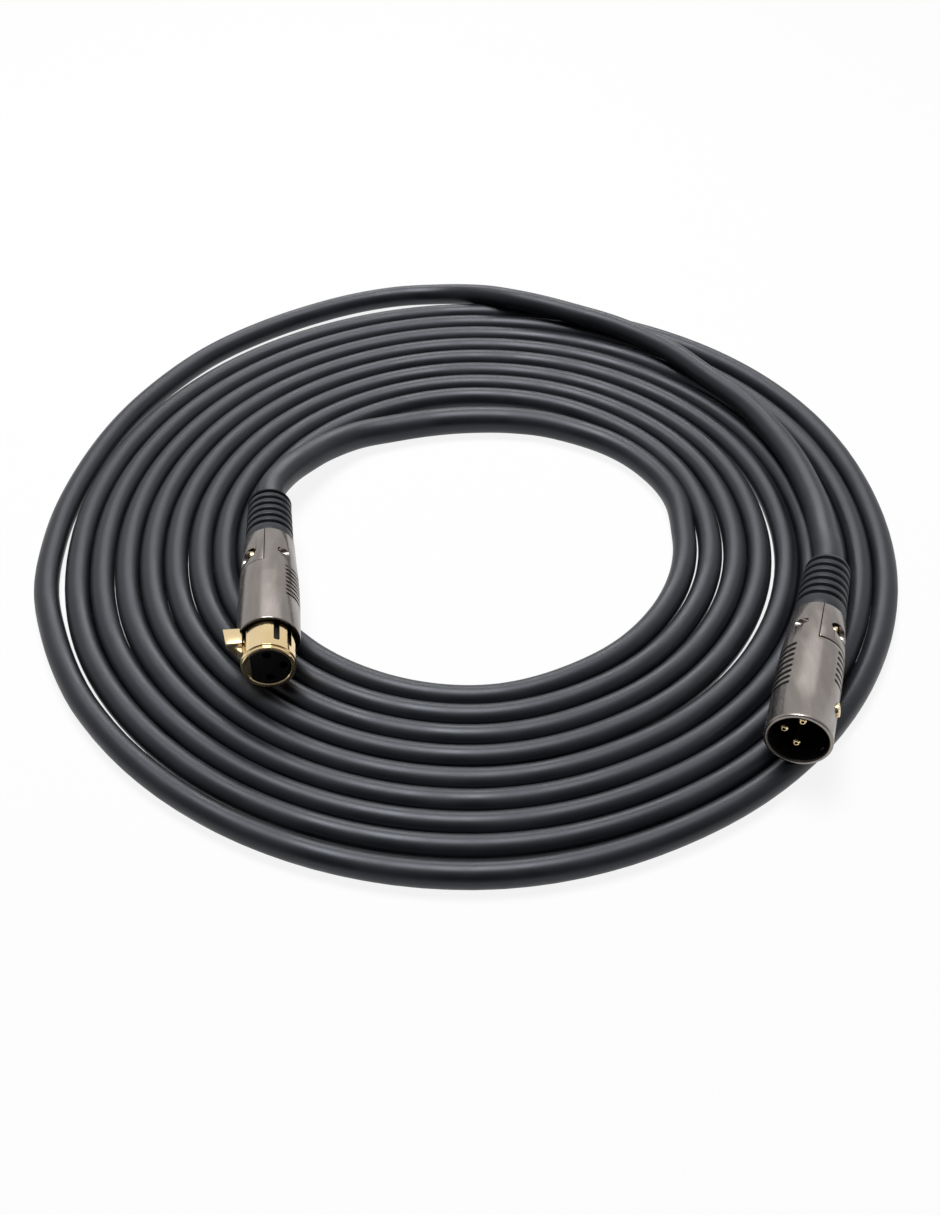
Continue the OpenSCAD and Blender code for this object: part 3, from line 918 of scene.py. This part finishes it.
@dataclass
class Lead:
    """The cable: from the male boot across the coil, round it, and to the female boot."""

    radius: float = 3.8
    boot_radius: float = 4.65
    swell_length: float = 115.0
    inner_hold: float = 100.0
    sides: int = 28
    points_per_turn: int = 120
    spans: int = 8
    spacing: float = 2.6
    tuck: float = 6.0
    middle: Pair = (4.0, -6.9)
    inner_turn: float = 68.26
    pitch: float = 7.69
    turns: float = 8.4
    rest: float = 3.8
    outer_route: tuple[Point, ...] = (
        (113.3, -16.8, 13.5), (113.3, 1.2, 12.1), (109.0, 26.2, 11.5), (98.9, 51.6, 11.4),
        (86.3, 69.7, 11.4), (73.5, 86.6, 11.4), (56.6, 100.5, 11.4), (40.2, 109.5, 11.4),
        (29.6, 114.5, 11.5), (19.4, 118.9, 11.2), (7.7, 125.3, 9.1), (-8.1, 132.0, 5.2),
        (-28.1, 131.8, 3.9), (-50.1, 123.8, 3.85), (-75.1, 108.5, 3.8), (-96.5, 88.2, 3.8),
        (-115.2, 57.7, 3.8), (-126.0, 24.5, 3.8), (-129.9, -9.6, 3.8), (-125.4, -43.6, 3.8),
    )
    crossing_route: tuple[Point, ...] = (
        (70.4, 11.0, 4.1), (62.8, 26.9, 4.35), (50.4, 39.7, 4.5),
        (32.3, 49.1, 4.6), (17.4, 52.3, 4.7), (2.0, 52.6, 4.7), (-11.7, 50.7, 4.75),
        (-24.5, 47.1, 5.0), (-35.8, 42.4, 5.8), (-45.4, 33.8, 7.7), (-51.7, 24.8, 9.8),
        (-57.3, 15.2, 11.7), (-61.0, 4.8, 13.3),
    )
    # How far the coil is out of round, in millimetres, each 30 degrees from its right end
    out_of_round: tuple[float, ...] = (
        -0.4, 0.3, -0.1, -0.6, -1.0, -0.8, -0.5, 0.7, 0.8, 0.8, -0.4, -0.8,
    )
    # How far the turns stray outwards at their right and left ends, from the innermost
    stray_right: tuple[float, ...] = (-0.3, 0.0, 0.2, 0.1, 0.9, 0.8, 0.7, 0.6, 0.5)
    stray_left: tuple[float, ...] = (0.3, 0.2, 0.1, 0.1, 0.0, -0.1, -0.1, -0.2, 0.5)
    # Single bulges: the turn, how far it goes out and over how much of a turn to each side
    bulges: tuple[Point, ...] = ((7.875, 1.8, 0.125), (8.25, 0.7, 0.12), (0.25, 0.5, 0.1))
    line: list[Vector] = field(default_factory=list)

    def stray(self, turn: float) -> float:
        """How far the spiral strays outwards, in millimetres.

        Args:
            turn: Turns from the innermost end.

        Returns:
            The distance, smooth all along the spiral.
        """

        def at_end(index: int) -> float:
            row = self.stray_left if index % 2 else self.stray_right
            return row[min(index // 2, len(row) - 1)]

        def at_side(index: int) -> float:
            return self.out_of_round[-index % len(self.out_of_round)]

        def blend(steps: float, value: Callable[[int], float]) -> float:
            low = int(steps)
            share = (1 - cos(pi * (steps - low))) / 2
            return value(low) * (1 - share) + value(low + 1) * share

        total = blend(turn * 2, at_end) + blend(turn * len(self.out_of_round), at_side)
        for middle, amount, half in self.bulges:
            total += amount * (1 + cos(pi * min(1.0, abs(turn - middle) / half))) / 2
        return total

    def spiral(self) -> list[Vector]:
        """The coil's centre line, from its outer end inwards."""
        points = []
        steps = round(self.turns * self.points_per_turn)
        for step in range(steps + 1):
            turn = self.turns * (1 - step / steps)
            angle = -2 * pi * turn
            reach = self.inner_turn + self.pitch * turn + self.stray(turn)
            x, y = reach * cos(angle), reach * sin(angle)
            points.append(Vector((self.middle[0] + x, self.middle[1] + y, self.rest)))
        return points

    @staticmethod
    def curve_through(
        points: list[Vector], start: Vector, end: Vector, spans: int
    ) -> list[Vector]:
        """A smooth line through points.

        Args:
            points: The points, in order.
            start: The direction at the first one.
            end: The direction at the last one.
            spans: Pieces between two points.

        Returns:
            The line's points.
        """
        slopes = [start.normalized() * (points[1] - points[0]).length]
        slopes += [(points[i + 1] - points[i - 1]) / 2 for i in range(1, len(points) - 1)]
        slopes.append(end.normalized() * (points[-1] - points[-2]).length)
        line = []
        for i in range(len(points) - 1):
            for k in range(spans):
                t = k / spans
                line.append(
                    (2 * t**3 - 3 * t * t + 1) * points[i]
                    + (t**3 - 2 * t * t + t) * slopes[i]
                    + (3 * t * t - 2 * t**3) * points[i + 1]
                    + (t**3 - t * t) * slopes[i + 1]
                )
        return [*line, points[-1]]

    def centre_line(self) -> list[Vector]:
        """The whole lead's centre line in metres, from inside the male boot, evenly spaced."""
        to_mm = 1 / MM
        male_end = MALE.point(0, 0, MALE_BOOT_END) * to_mm
        female_end = FEMALE.point(0, 0, FEMALE_BOOT_END) * to_mm
        coil = self.spiral()
        outer = [male_end, *map(Vector, self.outer_route), coil[0]]
        inner = [coil[-1], *map(Vector, self.crossing_route), female_end]
        rough = [male_end - MALE.back() * self.tuck]
        rough += self.curve_through(outer, MALE.back(), coil[1] - coil[0], self.spans)
        rough += coil[1:-1]
        rough += self.curve_through(inner, coil[-1] - coil[-2], -FEMALE.back(), self.spans)
        rough.append(female_end - FEMALE.back() * self.tuck)
        return self.evenly([p * MM for p in rough], self.spacing * MM)

    @staticmethod
    def evenly(line: list[Vector], step: float) -> list[Vector]:
        """Points a step apart along a line.

        Args:
            line: The line.
            step: The distance between two of the new points, in metres.

        Returns:
            The new points, both ends included.
        """
        total = sum((b - a).length for a, b in zip(line, line[1:]))
        count = round(total / step)
        step = total / count
        points, walked, wanted = [line[0]], 0.0, step
        for a, b in zip(line, line[1:]):
            span = (b - a).length
            while span > 0 and walked + span >= wanted and len(points) < count:
                points.append(a.lerp(b, (wanted - walked) / span))
                wanted += step
            walked += span
        return [*points, line[-1]]

    def radius_at(self, index: int, count: int, step: float) -> float:
        """The jacket's radius in metres at a ring: it is thicker towards each boot."""
        from_male = index * step / MM
        from_female = (count - 1 - index) * step / MM - self.inner_hold
        swell = min(1.0, max(0.0, 1 - min(from_male, from_female) / self.swell_length))
        return (self.radius + (self.boot_radius - self.radius) * swell) * MM

    def build(self) -> Item:
        """Sweeps the jacket along the centre line.

        Returns:
            The cable.
        """
        self.line = self.centre_line()
        count = len(self.line)
        step = (self.line[1] - self.line[0]).length
        vertices, faces, cells = [], [], []
        for i, centre in enumerate(self.line):
            ahead = self.line[min(i + 1, count - 1)] - self.line[max(i - 1, 0)]
            side = ahead.cross(Vector((0, 0, 1))).normalized()
            up = side.cross(ahead).normalized()
            reach = self.radius_at(i, count, step)
            for k in range(self.sides):
                angle = 2 * pi * k / self.sides
                vertices.append(centre + reach * (cos(angle) * side + sin(angle) * up))
        for i in range(count - 1):
            for k in range(self.sides):
                a, b = i * self.sides + k, i * self.sides + (k + 1) % self.sides
                faces.append((a, b, b + self.sides, a + self.sides))
                cells.append((i, k))
        faces.append(tuple(reversed(range(self.sides))))
        faces.append(tuple(range((count - 1) * self.sides, count * self.sides)))
        mesh = bpy.data.meshes.new("cable")
        mesh.from_pydata(vertices, [], faces)
        layer = mesh.uv_layers.new(name="run")
        for face, (i, k) in zip(mesh.polygons, cells):
            corners = ((k, i), (k + 1, i), (k + 1, i + 1), (k, i + 1))
            for loop, (around, along) in zip(face.loop_indices, corners):
                layer.data[loop].uv = (around / self.sides, along * step)
        mesh.validate()
        cable = add("cable", mesh)
        for face in mesh.polygons:
            face.use_smooth = True
        mesh.materials.append(JACKET.build())
        return cable

    def declare(self, cable: Item) -> None:
        """Attaches the cable to the body it rides on, hides the solids it stands for and logs its
        length.
        """
        length = sum((b - a).length for a, b in zip(self.line, self.line[1:]))
        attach(cable, Body.LEAD.value)
        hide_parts("cable_coil", "cable_outer_lead", "cable_inner_lead")
        tuple(MALE.point(0, 0, MALE_BOOT_END))
        [tuple(p) for p in self.line]
        LOG.info("cable: %.2f m in %d rings", length, len(self.line))


# ---- the frame's own nodes ----

# Widths, in millimetres, of the roundings on nodes that keep their shape
ROUNDINGS = {
    "female_nose_ring": 0.05,
    "male_insert": 0.15,
    "male_clamp_screws": 0.12,
    "female_clamp_screws": 0.12,
    "male_key_screw": 0.15,
    "female_insert_screw": 0.1,
    "male_clamp_jaws": 0.15,
    "female_clamp_jaws": 0.15,
}


def round_edges(node: Item, width: float) -> None:
    """Rounds a node's sharp edges with modifiers, which leave its own mesh alone.

    Args:
        node: The node.
        width: Width of the rounding, in millimetres.
    """
    weld = node.modifiers.new("weld", "WELD")
    weld.merge_threshold = MERGE * MM
    flat = node.modifiers.new("flat faces", "DECIMATE")
    flat.decimate_type = "DISSOLVE"
    flat.angle_limit = radians(FLAT)
    edge = node.modifiers.new("edges", "BEVEL")
    edge.width = width * MM
    edge.segments = 2
    edge.limit_method = "ANGLE"
    edge.angle_limit = radians(SHARP)
    edge.use_clamp_overlap = False
    even = node.modifiers.new("normals", "WEIGHTED_NORMAL")
    even.keep_sharp = False


def paint_dimple_shade(pin: Item, reach: float = 0.56, depth: float = 0.9) -> None:
    """Paints shade into the dimple in a pin's tip, where little light reaches.

    Args:
        pin: The pin's node.
        reach: The dimple's radius, in millimetres.
        depth: Its depth.
    """
    inverse = MALE.matrix().inverted() @ pin.matrix_world
    places = [inverse @ face.center for face in pin.data.polygons]
    corners = [inverse @ vertex.co for vertex in pin.data.vertices]
    tip = min(at.z for at in corners)
    rim = [at for at in corners if at.z < tip + 0.05]
    middle = sum(rim, Vector()) / len(rim)
    # Painted shade in the dimple
    pin.data.materials.append(RECESS_SHADE.build())
    for face, at in zip(pin.data.polygons, places):
        if 0.02 < at.z - tip < depth and (at.xy - middle.xy).length < reach:
            face.material_index = RECESS_SHADE_INDEX


def dress_nodes() -> None:
    """Gives every node of the frame the finish of its slot, and some a rounded edge."""
    slots = {row["node"]: row["material_slot"] for row in frame["record"]["subparts"]}
    for name, node in frame["nodes"].items():
        node.data.materials.clear()
        node.data.materials.append(FINISHES[Slot(slots[name])].build())
        if name in ROUNDINGS:
            round_edges(node, ROUNDINGS[name])
    # Painted shade in the pins' tip dimples
    for name in ("male_pin_1", "male_pin_2", "male_pin_3"):
        paint_dimple_shade(frame["nodes"][name])


# ---- studio ----

PURE_WHITE = (1.0, 1.0, 1.0, 1.0)


def seen_directly(tree: bpy.types.NodeTree) -> bpy.types.NodeSocket:
    """A socket that is 1 for rays from the camera, from a gloss or through glass.

    Args:
        tree: The material's or the world's nodes.

    Returns:
        The socket.
    """
    rays = new_node(tree, "LightPath")
    found = rays.outputs["Is Camera Ray"]
    for kind in ("Is Glossy Ray", "Is Transmission Ray"):
        either = new_node(tree, "Math")
        either.operation = "MAXIMUM"
        tree.links.new(found, either.inputs[0])
        tree.links.new(rays.outputs[kind], either.inputs[1])
        found = either.outputs[0]
    return found


@dataclass
class Studio:
    """Camera, floor, light and background."""

    camera_at: Point = (0.00284, -0.37727, 0.32875)
    camera_pitch: float = 46.0
    lens: float = 45.33
    sensor: float = 36.0
    clip_start: float = 0.01
    floor_size: float = 6.0
    floor_colour: float = 0.98
    floor_roughness: float = 0.9
    floor_specular: float = 0.1
    floor_glow: float = 0.88
    lamp_at: Point = (-0.1, 0.25, 1.2)
    lamp_size: Pair = (0.6, 0.6)
    lamp_power: float = 15.0
    rim_at: Point = (0.0, 1.1, 0.6)
    rim_size: Pair = (0.8, 0.3)
    rim_power: float = 5.0
    strip_at: Point = (0.1, 0.8, 0.9)
    strip_size: Pair = (1.3, 0.5)
    strip_power: float = 1.5
    fill: float = 0.05
    camera_side: float = 0.05
    back_side: float = 0.85
    fade: Pair = (-0.8, 0.6)

    def camera(self) -> None:
        """Sets up the camera."""
        data = bpy.data.cameras.new("camera")
        data.lens = self.lens
        data.sensor_width = self.sensor
        data.sensor_fit = "AUTO"
        data.clip_start = self.clip_start
        holder = add("camera", data)
        holder.location = self.camera_at
        holder.rotation_euler = (radians(self.camera_pitch), 0, 0)
        bpy.context.scene.camera = holder

    def floor(self) -> None:
        """Lays the white floor, which keeps the object's shadow."""
        deselect()
        bpy.ops.mesh.primitive_plane_add(size=self.floor_size, location=(0, 0, 0))
        plane = bpy.context.object
        plane.name = "floor"
        material = bpy.data.materials.new("Floor, white")
        material.use_nodes = True
        tree = material.node_tree
        shader = tree.nodes["Principled BSDF"]
        put(shader, {"Base Color": (*[self.floor_colour] * 3, 1)})
        put(shader, {"Roughness": self.floor_roughness, "Specular IOR Level": self.floor_specular})
        glow = new_node(tree, "Emission", {"Color": PURE_WHITE})
        share = new_node(tree, "Math")
        share.operation = "MULTIPLY"
        share.inputs[1].default_value = self.floor_glow
        mix = new_node(tree, "MixShader")
        join = tree.links.new
        join(seen_directly(tree), share.inputs[0])
        join(share.outputs[0], mix.inputs[0])
        join(shader.outputs[0], mix.inputs[1])
        join(glow.outputs[0], mix.inputs[2])
        join(mix.outputs[0], tree.nodes["Material Output"].inputs["Surface"])
        plane.data.materials.append(material)

    @staticmethod
    def lamp(name: str, at: Point, size: Pair, power: float) -> Item:
        """Hangs a soft lamp that shines on the object.

        Args:
            name: Its name.
            at: Its place, in metres.
            size: Its width and height, in metres.
            power: Its power, in watts.

        Returns:
            The lamp.
        """
        data = bpy.data.lights.new(name, "AREA")
        data.shape = "RECTANGLE"
        data.size, data.size_y = size
        data.energy = power
        holder = add(name, data)
        holder.location = at
        aim = Vector((0, 0, 0)) - holder.location
        holder.rotation_euler = aim.to_track_quat("-Z", "Y").to_euler()
        return holder

    @staticmethod
    def screen(lamp: Item, pieces: list[Item]) -> None:
        """Screens a lamp off from everything but some pieces.

        Args:
            lamp: The lamp.
            pieces: What it still lights.
        """
        lit = bpy.data.collections.new("lit by the " + lamp.name)
        for piece in pieces:
            lit.objects.link(piece)
        lamp.light_linking.receiver_collection = lit

    def hang_behind(self, cable: Item, shells: list[Item]) -> None:
        """Hangs a lamp behind for the cable, and a wide weak one for the plated shells.

        Args:
            cable: The cable.
            shells: The shells.
        """
        rim = self.lamp("rim lamp", self.rim_at, self.rim_size, self.rim_power)
        self.screen(rim, [cable])
        strip = self.lamp("strip lamp", self.strip_at, self.strip_size, self.strip_power)
        self.screen(strip, shells)

    def world(self) -> None:
        """Sets the even fill, and the white that is seen and reflected.

        The reflected white fades out towards the camera's side, where a studio is dark.
        """
        low, high = self.fade
        world = bpy.data.worlds.new("studio")
        bpy.context.scene.world = world
        world.use_nodes = True
        tree = world.node_tree
        even = put(tree.nodes["Background"], {"Color": PURE_WHITE, "Strength": self.fill})
        place = new_node(tree, "TexCoord")
        sides = new_node(tree, "SeparateXYZ")
        fade = new_node(tree, "MapRange", {"From Min": low, "From Max": high})
        put(fade, {"To Min": self.camera_side, "To Max": self.back_side})
        rays = new_node(tree, "LightPath")
        plain = new_node(tree, "Math")
        plain.operation = "MAXIMUM"
        white = new_node(tree, "Background", {"Color": PURE_WHITE})
        mix = new_node(tree, "MixShader")
        join = tree.links.new
        join(place.outputs["Generated"], sides.inputs[0])
        join(sides.outputs["Y"], fade.inputs["Value"])
        join(fade.outputs["Result"], plain.inputs[0])
        join(rays.outputs["Is Camera Ray"], plain.inputs[1])
        join(plain.outputs[0], white.inputs["Strength"])
        join(seen_directly(tree), mix.inputs[0])
        join(even.outputs[0], mix.inputs[1])
        join(white.outputs[0], mix.inputs[2])
        join(mix.outputs[0], tree.nodes["World Output"].inputs["Surface"])

    def build(self) -> None:
        """Sets up all of it."""
        self.camera()
        self.floor()
        self.lamp("soft lamp", self.lamp_at, self.lamp_size, self.lamp_power)
        self.world()
        bpy.context.scene.view_settings.view_transform = "Standard"


def main() -> None:
    """Builds the scene in order."""
    logging.basicConfig(level=logging.INFO, format="%(name)s: %(message)s")
    studio = Studio()
    studio.build()
    dress_nodes()
    lead = Lead()
    cable = lead.build()
    lead.declare(cable)
    studio.hang_behind(cable, build_housings())
    build_boots()
    Lever().build()


if __name__ == "__main__":
    main()
